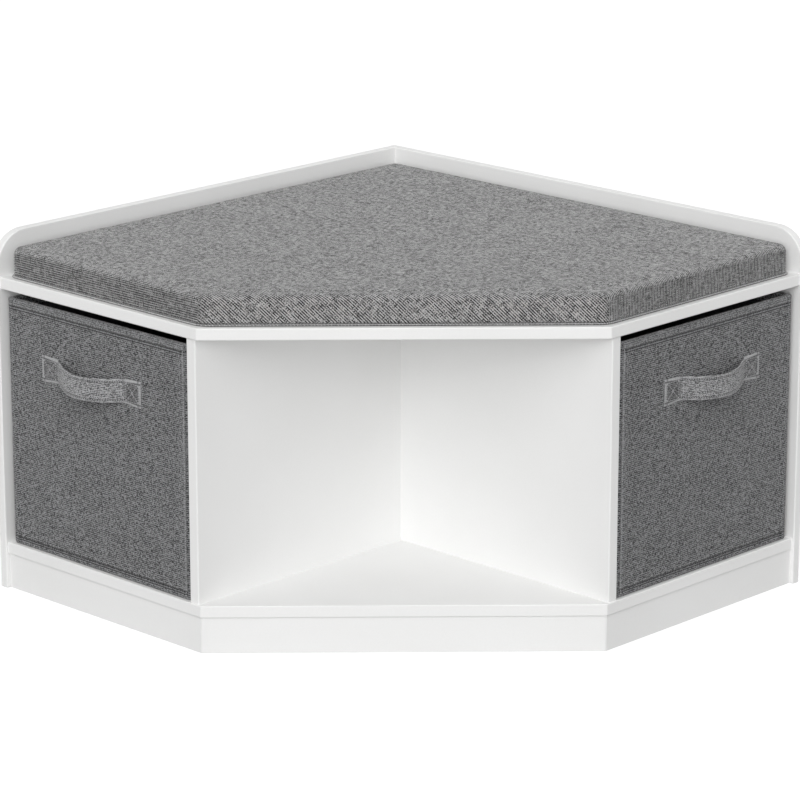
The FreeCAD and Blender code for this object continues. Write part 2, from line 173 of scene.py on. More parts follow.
class Finish:  # a material, its nodes and its shader
    def __init__(self, name, shader):
        self.material = bpy.data.materials.new(name)
        self.material.use_nodes = True
        self.tree = self.material.node_tree
        self.tree.nodes.clear()
        self.shader = self.add("BsdfPrincipled", {}, shader)
        self.output = self.add("OutputMaterial", {}, {"Surface": self.shader.outputs[0]})

    def add(self, kind, settings, sockets):
        node = self.tree.nodes.new("ShaderNode" + kind)
        for key, value in settings.items():
            if key == "stops":
                self.setStops(node.color_ramp, value)
            else:
                setattr(node, key, value)
        for key, value in sockets.items():
            self.feed(node.inputs[key], value)
        return node

    def read(self, kind, settings, sockets, output=0):
        return Reading(self, self.add(kind, settings, sockets).outputs[output])

    def feed(self, socket, value):
        if isinstance(value, Reading):
            value = value.socket
        if isinstance(value, bpy.types.NodeSocket):
            self.tree.links.new(value, socket)
        else:
            socket.default_value = value

    def setStops(self, ramp, stops):
        for i, (place, tone) in enumerate(stops):
            stop = ramp.elements[i] if i < len(ramp.elements) else ramp.elements.new(place)
            stop.position = place
            stop.color = (tone, tone, tone, 1)

    def sum(self, operation, first, second=None):
        sockets = {0: first} if second is None else {0: first, 1: second}
        return self.read("Math", {"operation": operation}, sockets)

    def vector(self, x, y, z):
        return self.read("CombineXYZ", {}, {0: x, 1: y, 2: z})

    def noise(self, vector, scale=1.0, detail=2.0, roughness=0.5):
        sockets = {"Vector": vector, "Scale": scale, "Detail": detail, "Roughness": roughness}
        return self.read("TexNoise", {}, sockets)

    def ramp(self, value, stops):
        return self.read("ValToRGB", {"stops": stops}, {0: value})

    def colours(self, share, first, second, blend="MIX"):
        sockets = {0: share, 6: first, 7: second}
        return self.read("Mix", {"data_type": "RGBA", "blend_type": blend}, sockets, 2)

    def place(self):
        return self.read("TexCoord", {}, {}, 3)

    def grain(self, scale, detail=2.0, roughness=0.5):
        return self.noise(self.place(), scale, detail, roughness)

    def stretched(self, vector, scale):
        return self.read("VectorMath", {"operation": "MULTIPLY"}, {0: vector, 1: scale})

    def set(self, socket, value):
        self.feed(self.shader.inputs[socket], value)

    def bump(self, height, distance, strength=1.0):
        sockets = {"Height": height, "Distance": distance, "Strength": strength}
        self.set("Normal", self.read("Bump", {}, sockets))


def grey(tone, warm=0.0):
    return (tone * (1 + warm), tone, tone * (1 - warm), 1)


# Cloth: a plain weave of uneven yarns, on the piece's own cloth map
cushionCloth = {
    "pitch": 1.4 * mm,
    "yarnLength": 6.0,  # yarns per light or dark stretch
    "dark": grey(0.016),
    "light": grey(0.55),
    "gap": grey(0.02),
    "yarnContrast": 3.8,
    "alternate": 0.75,  # every second yarn is darker
    "slub": 0.7,  # thick and thin places in the yarn
    "slubSize": 2.6,
}

binCloth = {
    "pitch": 1.25 * mm,
    "yarnLength": 2.6,
    "dark": (0.008, 0.0082, 0.0088, 1),
    "light": (0.332, 0.335, 0.342, 1),
    "gap": (0.006, 0.006, 0.007, 1),
    "yarnContrast": 5.4,
    "alternate": 0.7,
    "slub": 2.4,
    "slubSize": 1.9,
}

strapCloth = {
    "pitch": 1.1 * mm,
    "yarnLength": 4.0,
    "dark": (0.02, 0.0205, 0.022, 1),
    "light": (0.545, 0.547, 0.555, 1),
    "gap": (0.012, 0.012, 0.013, 1),
    "yarnContrast": 5.0,
    "alternate": 0.6,
    "slub": 1.9,
    "slubSize": 2.2,
}


weave = {  # what the three cloths share
    "yarnShift": 5.37,  # sets each yarn's noise apart from the next one's
    "patch": 45,  # yarns in a broad light or dark patch
    "patchContrast": 0.2,
    "fibres": 6,  # fibres in a yarn
    "topSlub": 2.6,  # more slub where the cloth lies level
    "gapShare": 0.75,  # how much painted shade the gaps between the yarns get
    "relief": 0.35 * mm,
}


def fromPiece(made, attribute):
    return made.read("Attribute", {"attribute_name": attribute}, {}, 2)


def everySecond(made, place):
    turned = place * (math.pi / 2)
    return made.sum("GREATER_THAN", made.sum("SINE", turned) * made.sum("COSINE", turned), 0.0)


def clothFinish(name, look):
    # sewn darkens the cloth: stitch lines, and painted shade in seams, crevices and on two flanks; worn
    # lightens it: a lighter hem band, and painted highlights on raised edges; lying roughens its yarns
    shader = {"Sheen Weight": 0.25, "Sheen Roughness": 0.45, "Specular IOR Level": 0.25}
    made = Finish(name, shader)
    place = made.read("UVMap", {"uv_map": "cloth"}, {})
    split = made.add("SeparateXYZ", {}, {0: place})
    across = Reading(made, split.outputs[0]) / look["pitch"]
    along = Reading(made, split.outputs[1]) / look["pitch"]
    crossing = made.sum("SINE", across * math.pi) * made.sum("SINE", along * math.pi)
    warpOver = made.sum("GREATER_THAN", crossing, 0.0)
    pillow = abs(crossing) ** 0.5
    length = look["yarnLength"]
    shift = weave["yarnShift"]
    warpYarn = made.noise(made.vector(made.sum("FLOOR", across) * shift, along / length, 2.1))
    weftYarn = made.noise(made.vector(across / length, made.sum("FLOOR", along) * shift, 8.6))
    yarn = weftYarn + (warpYarn - weftYarn) * warpOver
    warpTurn = everySecond(made, across)
    weftTurn = everySecond(made, along)
    turn = weftTurn + (warpTurn - weftTurn) * warpOver
    patch = weave["patch"]
    broad = made.noise(made.vector(across / patch, along / patch, 1.5))
    size = look["slubSize"]
    slub = made.noise(made.vector(across / size, along / size, 4.4), roughness=0.7)
    tone = 0.5 + (yarn - 0.5) * look["yarnContrast"] + (turn - 0.5) * look["alternate"]
    slubShare = fromPiece(made, "lying") * weave["topSlub"] + look["slub"]
    tone = tone + (slub - 0.5) * slubShare + (broad - 0.5) * weave["patchContrast"]
    fibre = made.noise(made.vector(across * weave["fibres"], along * weave["fibres"], 3.3))
    colour = made.colours(made.ramp(tone, ((0.0, 0.0), (1.0, 1.0))), look["dark"], look["light"])
    # painted shade in the gaps between the yarns, where the crossings are low
    shade = made.ramp(pillow + (fibre - 0.5) * 0.4, ((0.08, 1.0), (0.55, 0.0)))
    # worn: lighter bands, and painted highlights on raised edges and folds
    colour = made.colours(fromPiece(made, "worn"), colour, look["light"])
    colour = made.colours(shade * weave["gapShare"], colour, look["gap"])
    # sewn: stitch lines, and painted shade in seams, crevices and on two flanks
    colour = made.colours(fromPiece(made, "sewn"), colour, look["gap"])
    made.set("Base Color", colour)
    made.set("Roughness", 0.86 + fibre * 0.1)
    made.bump(pillow + fibre * 0.35 + yarn * 0.5, weave["relief"], 0.8)
    return made.material


# Hard finishes, on object coordinates
laminate = {
    "white": (0.855, 0.855, 0.85, 1),
    "worn": (0.825, 0.825, 0.818, 1),
    "roughness": 0.40,
    "cloud": 5.0,  # noise scales
    "peel": 420.0,
    "speck": 2600.0,
    "depth": 0.06 * mm,
}


def laminateFinish():
    made = Finish("whiteLaminate", {"Specular IOR Level": 0.4})
    cloud = made.grain(laminate["cloud"], detail=3)
    peel = made.grain(laminate["peel"])
    speck = made.grain(laminate["speck"], detail=1)
    share = made.ramp(cloud * 0.7 + peel * 0.3, ((0.40, 0.0), (0.66, 1.0)))
    made.set("Base Color", made.colours(share, laminate["white"], laminate["worn"]))
    made.set("Roughness", laminate["roughness"] + cloud * 0.07 + speck * 0.06)
    made.bump(peel * 0.8 + speck * 0.2, laminate["depth"], 0.5)
    return made.material


metals = {
    "steel": {"light": (0.70, 0.70, 0.72, 1), "dark": (0.50, 0.50, 0.53, 1), "roughness": 0.28},
    "cast_zinc": {"light": (0.62, 0.62, 0.64, 1), "dark": (0.42, 0.42, 0.44, 1), "roughness": 0.42},
}
metalSurface = {"cloud": 90.0, "grain": 1500.0, "depth": 0.05 * mm}


def metalFinish(name, look):
    made = Finish(name, {"Metallic": 1.0})
    cloud = made.grain(metalSurface["cloud"], detail=4)
    grain = made.grain(metalSurface["grain"])
    share = made.ramp(cloud, ((0.35, 0.0), (0.7, 1.0)))
    made.set("Base Color", made.colours(share, look["light"], look["dark"]))
    made.set("Roughness", look["roughness"] + grain * 0.2)
    made.bump(grain + cloud * 0.5, metalSurface["depth"], 0.5)
    return made.material


plainFinishes = {
    "white_plastic": {"light": (0.84, 0.84, 0.83, 1), "dark": (0.79, 0.79, 0.78, 1), "roughness": 0.38,
                      "cloud": 40.0, "grain": 2200.0, "depth": 0.05 * mm},
    "foam": {"light": (0.84, 0.80, 0.66, 1), "dark": (0.66, 0.61, 0.47, 1), "roughness": 0.95,
             "cloud": 60.0, "grain": 900.0, "depth": 0.6 * mm},
    "greyboard": {"light": (0.44, 0.41, 0.36, 1), "dark": (0.31, 0.285, 0.245, 1), "roughness": 0.9,
                  "cloud": 70.0, "grain": 1300.0, "depth": 0.15 * mm},
}


def plainFinish(name, look):
    made = Finish(name, {"Specular IOR Level": 0.35})
    cloud = made.grain(look["cloud"], detail=4, roughness=0.6)
    grain = made.grain(look["grain"], detail=3)
    share = made.ramp(cloud * 0.5 + grain * 0.5, ((0.36, 0.0), (0.66, 1.0)))
    made.set("Base Color", made.colours(share, look["light"], look["dark"]))
    made.set("Roughness", look["roughness"] - grain * 0.06)
    made.bump(grain, look["depth"], 0.8)
    return made.material


beech = {  # the grain runs along Z, as the dowels do
    "light": (0.70, 0.53, 0.35, 1),
    "dark": (0.50, 0.34, 0.20, 1),
    "rings": (900.0, 900.0, 60.0),
    "pores": (3000.0, 3000.0, 220.0),
    "depth": 0.1 * mm,
}


def beechFinish():
    made = Finish("beech", {"Roughness": 0.6})
    rings = made.noise(made.stretched(made.place(), beech["rings"]), detail=4)
    pores = made.noise(made.stretched(made.place(), beech["pores"]))
    share = made.ramp(rings * 0.7 + pores * 0.3, ((0.38, 0.0), (0.64, 1.0)))
    made.set("Base Color", made.colours(share, beech["light"], beech["dark"]))
    made.bump(rings + pores, beech["depth"], 0.5)
    return made.material


nonWoven = {
    "base_cloth": {"light": (0.085, 0.085, 0.088, 1), "dark": (0.035, 0.035, 0.037, 1)},
    "bin_lining": {"light": (0.10, 0.10, 0.104, 1), "dark": (0.045, 0.045, 0.047, 1)},
    "zip_tape": {"light": (0.12, 0.12, 0.124, 1), "dark": (0.05, 0.05, 0.052, 1)},
}
nonWovenSurface = {"fibres": 1400.0, "mottle": 260.0, "spots": 620.0, "depth": 0.25 * mm}


def nonWovenFinish(name, look):
    made = Finish(name, {"Sheen Weight": 0.15, "Specular IOR Level": 0.2})
    fibres = made.grain(nonWovenSurface["fibres"], detail=3, roughness=0.7)
    mottle = made.grain(nonWovenSurface["mottle"])
    sockets = {"Vector": made.place(), "Scale": nonWovenSurface["spots"]}
    spots = made.read("TexVoronoi", {"feature": "F1"}, sockets)
    pressed = made.ramp(spots, ((0.18, 1.0), (0.34, 0.0)))
    share = made.ramp(fibres * 0.6 + mottle * 0.4, ((0.36, 0.0), (0.66, 1.0)))
    colour = made.colours(share, look["dark"], look["light"])
    made.set("Base Color", made.colours(pressed * 0.5, colour, look["dark"]))
    made.set("Roughness", 0.82 + fibres * 0.12)
    made.bump(fibres * 0.5 - pressed * 0.5, nonWovenSurface["depth"], 0.7)
    return made.material


threads = {
    "binThread": {"light": (0.11, 0.11, 0.115, 1), "dark": (0.05, 0.05, 0.053, 1)},
    "strapThread": {"light": (0.52, 0.52, 0.53, 1), "dark": (0.26, 0.26, 0.265, 1)},
    "cushionThread": {"light": grey(0.34), "dark": grey(0.16)},
}
threadSurface = {"strands": 2600.0, "depth": 0.08 * mm}


def threadFinish(name, look):
    made = Finish(name, {"Sheen Weight": 0.2, "Roughness": 0.7})
    strands = made.grain(threadSurface["strands"])
    share = made.ramp(strands, ((0.4, 0.0), (0.62, 1.0)))
    made.set("Base Color", made.colours(share, look["dark"], look["light"]))
    made.bump(strands, threadSurface["depth"], 0.7)
    return made.material


finishes = {
    "white_board": laminateFinish(),
    "beech": beechFinish(),
    "grey_fabric": clothFinish("cushionCloth", cushionCloth),
    "bin_fabric": clothFinish("binCloth", binCloth),
    "strap": clothFinish("strapCloth", strapCloth),
}
for make, looks in ((threadFinish, threads), (metalFinish, metals), (plainFinish, plainFinishes),
                    (nonWovenFinish, nonWoven)):
    for name, look in looks.items():
        finishes[name] = make(name, look)


def dressNodes():
    for part in frame["record"]["subparts"]:
        mesh = nodes[part["node"]].data
        mesh.materials.clear()
        mesh.materials.append(finishes[part["material_slot"]])


def seenByCamera(tree):
    # 1 on rays from the camera, also past a mirror or through glass
    path = tree.nodes.new("ShaderNodeLightPath")
    seen = path.outputs["Is Camera Ray"]
    for output in ("Is Glossy Ray", "Is Transmission Ray"):
        either = tree.nodes.new("ShaderNodeMath")
        either.operation = "MAXIMUM"
        tree.links.new(seen, either.inputs[0])
        tree.links.new(path.outputs[output], either.inputs[1])
        seen = either.outputs[0]
    return seen


def makeFloor():
    shape = bmesh.new()
    bmesh.ops.create_grid(shape, x_segments=4, y_segments=4, size=studio["floorSize"])
    bmesh.ops.translate(shape, verts=shape.verts, vec=(0, 0, -studio["floorDrop"]))
    mesh = meshFrom("floor", shape)
    floor = newObject("floor", mesh)
    made = Finish("floor", {"Roughness": 1.0, "Specular IOR Level": 0.0})
    made.set("Base Color", grey(studio["floorTone"]))
    shadowed = made.add("BsdfDiffuse", {}, {"Color": grey(studio["floorShadow"])})
    glow = made.add("Emission", {}, {"Color": grey(1.0), "Strength": studio["floorGlow"]})
    both = made.add("AddShader", {}, {0: shadowed.outputs[0], 1: glow.outputs[0]})
    sockets = {0: seenByCamera(made.tree), 1: made.shader.outputs[0], 2: both.outputs[0]}
    mixed = made.add("MixShader", {}, sockets)
    made.feed(made.output.inputs["Surface"], mixed.outputs[0])
    mesh.materials.append(made.material)
    print("floor laid")


def makeSky():
    world = bpy.data.worlds.new("studio")
    world.use_nodes = True
    scene.world = world
    tree = world.node_tree
    tree.nodes.clear()
    lit = tree.nodes.new("ShaderNodeBackground")
    lit.inputs["Strength"].default_value = studio["skyStrength"]
    white = tree.nodes.new("ShaderNodeBackground")
    white.inputs["Strength"].default_value = 1.0
    for sky in (lit, white):
        sky.inputs["Color"].default_value = grey(1.0)
    mixed = tree.nodes.new("ShaderNodeMixShader")
    tree.links.new(seenByCamera(tree), mixed.inputs[0])
    tree.links.new(lit.outputs[0], mixed.inputs[1])
    tree.links.new(white.outputs[0], mixed.inputs[2])
    output = tree.nodes.new("ShaderNodeOutputWorld")
    tree.links.new(mixed.outputs[0], output.inputs["Surface"])


# Shared modelling steps
def finishPiece(name, shape, finish, body, replaced=(), crease=40):
    mesh = meshFrom(name, shape)
    mesh.materials.append(finishes[finish])
    mesh.shade_smooth()
    mesh.set_sharp_from_angle(angle=math.radians(crease))
    piece = newObject(name, mesh)
    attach(piece, body)
    if replaced:
        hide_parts(*replaced)
    print(name, len(mesh.polygons), "faces")
    return piece


mirror = Matrix(((0, -1, 0, 0), (-1, 0, 0, 0), (0, 0, 1, 0), (0, 0, 0, 1)))  # the other side of the bench


def mirrored(shape):
    bmesh.ops.transform(shape, matrix=mirror, verts=shape.verts)
    bmesh.ops.reverse_faces(shape, faces=shape.faces)


def bothSides(name, make, finish, replaced="", crease=40):
    for side in ("left", "right"):
        shape = make()
        if side == "right":
            mirrored(shape)
        body = "bin_" + side
        stood = (body + "_" + replaced,) if replaced else ()
        finishPiece(body + "_" + name, shape, finish, body, stood, crease)


def extrudeRim(shape, edges):
    grown = bmesh.ops.extrude_edge_only(shape, edges=edges)["geom"]
    edges = [g for g in grown if isinstance(g, bmesh.types.BMEdge) and g.is_boundary]
    return edges, {vert for edge in edges for vert in edge.verts}


def extrudeUp(shape, height):
    grown = bmesh.ops.extrude_face_region(shape, geom=shape.faces[:])["geom"]
    raised = [g for g in grown if isinstance(g, bmesh.types.BMVert)]
    bmesh.ops.translate(shape, verts=raised, vec=(0, 0, height))
    bmesh.ops.recalc_face_normals(shape, faces=shape.faces)


def mapCloth(shape, flat):
    # flat gives a point's place on the cloth
    cloth = shape.loops.layers.uv.new("cloth")
    for face in shape.faces:
        for loop in face.loops:
            loop[cloth].uv = flat(loop.vert.co)


def shades(shape):
    floats = shape.verts.layers.float
    return floats.new("sewn"), floats.new("worn")


def surfaceOf(piece):
    mesh = piece.data
    return BVHTree.FromPolygons([v.co for v in mesh.vertices], [p.vertices for p in mesh.polygons])


def smoothStep(value, start, end):
    share = min(1.0, max(0.0, (value - start) / (end - start)))
    return share * share * (3 - 2 * share)


def ridge(distance, width):
    return math.exp(-(distance / width) ** 2)


stitchLean = 0.06
oneStitch = bmesh.new()
bmesh.ops.create_uvsphere(oneStitch, u_segments=6, v_segments=4, radius=1)


def placed(centre, size):
    return Matrix.Translation(centre) @ Matrix.Diagonal((*size, 1))


def addCopy(shape, one, matrix):
    made = {vert: shape.verts.new(matrix @ vert.co) for vert in one.verts}
    for face in one.faces:
        shape.faces.new([made[vert] for vert in face.verts])


def addStitch(shape, centre, along, outward, thread):
    lean = random.uniform(-stitchLean, stitchLean)
    run = (along + outward.cross(along) * lean).normalized()
    side = outward.cross(run).normalized()
    turn = Matrix((run, side, run.cross(side))).transposed().to_4x4()
    size = Matrix.Diagonal((thread["length"] / 2, thread["thick"] / 2, thread["thick"] / 2, 1))
    addCopy(shape, oneStitch, Matrix.Translation(centre) @ turn @ size)


def addRow(shape, start, end, outward, thread):
    run = end - start
    count = max(2, round(run.length / thread["pitch"]))
    for i in range(count):
        addStitch(shape, start + run * ((i + 0.5) / count), run.normalized(), outward, thread)


# Fabric bins, made in the left bin's place
fabricBin = {
    "corner": 3.0 * mm,
    "grid": 7.0 * mm,
    "gridEnds": (14.0 * mm, 16.0 * mm),  # left to the seams at the bottom and the top
    "cloth": 0.85 * mm,
    "bulge": 0.9 * mm,
    "pucker": 0.35 * mm,
    "puckerScales": (22, 60),
    "topRows": (9.8 * mm, 13.3 * mm),  # stitch rows below the rim
    "baseRows": (7.0 * mm, 10.2 * mm),  # stitch rows above the bottom
    "rowWidth": 1.1 * mm,
    "rowDepth": 0.7 * mm,
    "rowLine": (0.4 * mm, 1.15 * mm),  # where a row's dark line starts and ends fading
    # dark line along each stitch row: its needle holes, and painted shade in its drawn-in groove
    "rowShade": 0.95,
    "topHem": (14.6 * mm, 15.6 * mm),  # where the turned cloth ends
    "topHemThick": 0.5 * mm,
    # the band over the turned hem is made lighter
    "topHemLighter": 0.18,
    "baseHem": (11.2 * mm, 12.4 * mm),
    "baseHemThick": 0.3 * mm,
    "hemCuts": (15.6 * mm, 16.4 * mm, 5.0 * mm),  # below the rim
    "rib": 9.0 * mm,  # soft ridge beside each upright edge
    "ribStep": 1.7 * mm,
    "ribWidth": 2.6 * mm,
    "ribHeight": 0.9 * mm,
    "edgeRow": 5.6 * mm,  # upright row from the divider side's edge
    "edgeDepth": 0.35 * mm,
    "edgeHighlight": (0.45, 2.4 * mm),  # painted highlight along the upright stitch row: strength and width
    "edgeShade": (0.6, 1.6 * mm, 1.8 * mm),  # painted shade at the corner by the divider: strength, place and width
    "rim": ((0.6, -0.4), (1.8, 0), (4, 0), (5.2, -0.4), (5.8, -1.3), (5.8, -6), (5.8, -11),
            (5.8, -16)),  # mm inwards and up, over the rim and down the inside
    "rimDrop": 1.3 * mm,
}
binThread = {"pitch": 3.8 * mm, "length": 2.2 * mm, "thick": 0.5 * mm, "proud": 0.25 * mm, "ends": 1.5 * mm}
edgeThread = {"pitch": 3.6 * mm, "length": 2.3 * mm, "thick": 0.8 * mm, "proud": 0.2 * mm,
              "ends": (4.0 * mm, 8.0 * mm)}
outerSkin = 0.3 * mm  # how near the wall's plane a point of its outer cloth is
footRound = 0.5 * mm
binLow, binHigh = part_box("bin_left_cover")


def cutAcross(shape, axis, places):
    normal = Vector((0, 0, 0))
    normal[axis] = 1
    for place in places:
        everything = shape.verts[:] + shape.edges[:] + shape.faces[:]
        bmesh.ops.bisect_plane(shape, geom=everything, dist=1e-6, plane_co=normal * place, plane_no=normal)


def spread(start, end, step):
    count = max(1, round((end - start) / step))
    return [start + (end - start) * i / count for i in range(1, count)]


def wallSide(point):
    # which outer wall a point of the bin lies on, as an outward direction
    toWalls = {
        (-1, 0): point.x - binLow.x,
        (1, 0): binHigh.x - point.x,
        (0, -1): point.y - binLow.y,
        (0, 1): binHigh.y - point.y,
    }
    nearest = min(toWalls, key=toWalls.get)
    return Vector((nearest[0], nearest[1], 0)), toWalls[nearest]


def rowHeights():
    look = fabricBin
    return [binHigh.z - row for row in look["topRows"]] + [binLow.z + row for row in look["baseRows"]]


def puffBin(shape):
    # the cloth stands off its boards a little, and is drawn in at its stitch rows
    look = fabricBin
    size = binHigh - binLow
    sewn, worn = shades(shape)
    wide, fine = look["puckerScales"]
    highlightShare, highlightWidth = look["edgeHighlight"]
    shade, shadePlace, shadeWidth = look["edgeShade"]
    moves = {}
    for vert in shape.verts:
        outward, depth = wallSide(vert.co)
        inRim = vert.co.z > binHigh.z - look["rimDrop"]
        if depth > outerSkin or inRim or vert.co.z < binLow.z + footRound:
            continue
        along = vert.co.x - binLow.x if outward.y else vert.co.y - binLow.y
        edge = min(along, size.x - along)
        fromDivider = binHigh.x - vert.co.x if outward.y else 1.0
        below = binHigh.z - vert.co.z
        above = vert.co.z - binLow.z
        rows = [below - row for row in look["topRows"]] + [above - row for row in look["baseRows"]]
        drawn = max(ridge(gap, look["rowWidth"]) for gap in rows)
        line = 1 - smoothStep(min(abs(gap) for gap in rows), *look["rowLine"])
        upright = ridge(fromDivider - look["edgeRow"], look["rowWidth"])
        turned = 1 - smoothStep(below, *look["topHem"])
        swell = math.sin(math.pi * (along / size.x)) * math.sin(math.pi * (above / size.z))
        off = look["bulge"] * swell ** 0.5
        off += look["pucker"] * noise.noise(vert.co * wide)
        off += look["pucker"] * 0.5 * noise.noise(vert.co * fine)
        off += look["ribHeight"] * ridge(edge - look["rib"], look["ribWidth"])
        off += look["topHemThick"] * turned
        off -= look["rowDepth"] * drawn + look["edgeDepth"] * upright
        off += look["baseHemThick"] * (1 - smoothStep(above, *look["baseHem"]))
        # sewn: dark stitch rows, partly painted shade in their grooves, and painted shade at the corner by
        # the divider; worn: a lighter hem band, and a painted highlight along the upright row
        vert[sewn] = max(look["rowShade"] * line, shade * ridge(fromDivider - shadePlace, shadeWidth))
        light = highlightShare * ridge(fromDivider - look["edgeRow"], highlightWidth)
        vert[worn] = max(look["topHemLighter"] * turned, light)
        moves[vert] = outward * off
    for vert, move in moves.items():
        vert.co += move


def mapBin(shape):
    cloth = shape.loops.layers.uv.new("cloth")
    shape.normal_update()
    for face in shape.faces:
        sizes = [abs(n) for n in face.normal]
        facing = sizes.index(max(sizes))
        for loop in face.loops:
            p = loop.vert.co
            loop[cloth].uv = ((p.y, p.z), (p.x, p.z), (p.x, p.y))[facing]


def binFabric():
    look = fabricBin
    shape = bmesh.new()
    low = binLow.copy()
    high = binHigh - Vector((0, 0, look["rimDrop"]))
    middle = (low + high) / 2
    size = high - low
    bmesh.ops.create_cube(shape, size=1, matrix=placed(middle, size))
    shape.normal_update()
    top = [face for face in shape.faces if face.normal.z > 0.5]
    bmesh.ops.delete(shape, geom=top, context="FACES_ONLY")
    rounded = [edge for edge in shape.edges if not edge.is_boundary]
    roundEdges(shape, rounded, look["corner"], 3)
    grid = look["grid"]
    ribs = [look["rib"] + step * look["ribStep"] for step in (-3, -2, -1, 0, 1, 2)]
    for axis in (0, 1):
        places = spread(low[axis] + look["corner"], high[axis] - look["corner"], grid)
        places += [low[axis] + r for r in ribs] + [high[axis] - r for r in ribs]
        cutAcross(shape, axis, places)
    foot, head = look["gridEnds"]
    places = spread(low.z + foot, high.z - head, grid)
    near, far = look["rowLine"]
    for height in rowHeights():
        places += [height + step for step in (-far, -near, near, far)]
    places += [binHigh.z - drop for drop in look["hemCuts"]] + [binLow.z + look["baseHem"][1]]
    cutAcross(shape, 2, places)
    rim = [edge for edge in shape.edges if edge.is_boundary]
    before = 0.0
    half = size.x / 2
    for inset, height in look["rim"]:
        rim, ring = extrudeRim(shape, rim)
        share = (half - inset * mm) / (half - before)
        for vert in ring:
            vert.co.x = middle.x + (vert.co.x - middle.x) * share
            vert.co.y = middle.y + (vert.co.y - middle.y) * share
            vert.co.z = binHigh.z + height * mm
        before = inset * mm
    bmesh.ops.recalc_face_normals(shape, faces=shape.faces)
    puffBin(shape)
    mapBin(shape)
    return shape


def thickenBins():
    for side in ("left", "right"):
        wall = bpy.data.objects["bin_" + side + "_fabric"].modifiers.new("cloth", "SOLIDIFY")
        wall.thickness = fabricBin["cloth"]
        wall.offset = -1
        wall.use_even_offset = False


def binStitching():
    # the rows that run round the bin under its rim and over its bottom
    shape = bmesh.new()
    inset = fabricBin["corner"] + binThread["ends"]
    proud = binThread["proud"]
    for z in rowHeights():
        for axis in (1, 0):
            for place, out in ((binLow[axis] - proud, -1), (binHigh[axis] + proud, 1)):
                start = binLow + Vector((inset, inset, 0))
                end = binHigh - Vector((inset, inset, 0))
                outward = Vector((0, 0, 0))
                outward[axis] = out
                start[axis] = end[axis] = place
                start.z = end.z = z
                addRow(shape, start, end, outward, binThread)
    return shape


def edgeStitching():
    # the light upright row on the divider side of the bin's front and rear
    shape = bmesh.new()
    x = binHigh.x - fabricBin["edgeRow"]
    low = binLow.z + edgeThread["ends"][0]
    high = binHigh.z - edgeThread["ends"][1]
    for y, out in ((binLow.y - edgeThread["proud"], -1), (binHigh.y + edgeThread["proud"], 1)):
        addRow(shape, Vector((x, y, low)), Vector((x, y, high)), Vector((0, out, 0)), edgeThread)
    return shape


# Pull straps, sewn down flat at both ends and bowed out between them
strap = {
    "width": 30.0 * mm,
    "thick": 2.4 * mm,
    "free": 120.5 * mm,
    "end": 29.0 * mm,
    "bow": 19.0 * mm,
    "bowShape": (0.85, 1.3),  # how far it leans to one side, and how pointed it is
    "droop": 5.0 * mm,
    "flare": 1.6 * mm,  # how much wider the sewn ends are
    "edge": 3.0 * mm,  # folded edge
    "foldWidth": 1.5 * mm,
    "seam": 0.6 * mm,  # from the folded edge in to its stitch row
    "seamWidth": 0.8 * mm,
    "endSeamWidth": 0.9 * mm,
    "relief": (0.72, 0.32, 0.18),  # shares of the thickness: all over, more at the fold, less at the seam
    "uneven": 0.06,
    "unevenScales": (160, 220),
    "wave": 0.35 * mm,
    "waveScales": (70, 60),
    "tip": 2.2 * mm,  # rounded-off end
    "fade": 3.0 * mm,  # between sewn and loose
    "boxShade": 0.5,
    "rimHighlight": 0.75,
    "looseLighter": 0.08,
    "threadOut": (0.42, 0.92),  # shares of the thickness, from the strap's middle and from the bin
    "rowEnds": 3.0 * mm,
    "boxInset": 3.5 * mm,
    "sections": 84,
    "around": 60,
}
strapThread = {"pitch": 3.2 * mm, "length": 2.5 * mm, "thick": 0.95 * mm}
strapLow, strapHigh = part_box("bin_left_handle")
binFace = binLow.y
strapMiddle = (strapLow.x + strapHigh.x) / 2
strapLength = strapHigh.x - strapLow.x
strapHeight = strapHigh.z - strap["width"] / 2


def strapPlace(s):
    # centre of the strap, s from 0 to 1 over its length, the way it runs and the way it faces
    lean, point = strap["bowShape"]

    def centre(share):
        x = strapLow.x + share * strapLength
        u = min(1.0, max(0.0, (x - strapLow.x - strap["end"]) / strap["free"]))
        out = strap["bow"] * max(0.0, math.sin(math.pi * u ** lean)) ** point
        down = strap["droop"] * math.sin(math.pi * u)
        return Vector((x, binFace - strap["thick"] / 2 - out, strapHeight - down))

    step = 0.004
    along = centre(min(1.0, s + step)) - centre(max(0.0, s - step))
    along.z = 0
    along.normalize()
    return centre(s), along, Vector((along.y, -along.x, 0))


def sewnShare(x):
    # 1 on the sewn ends, 0 on the loose middle
    inner = strap["free"] / 2
    return smoothStep(abs(x - strapMiddle), inner - strap["fade"], inner + strap["fade"])


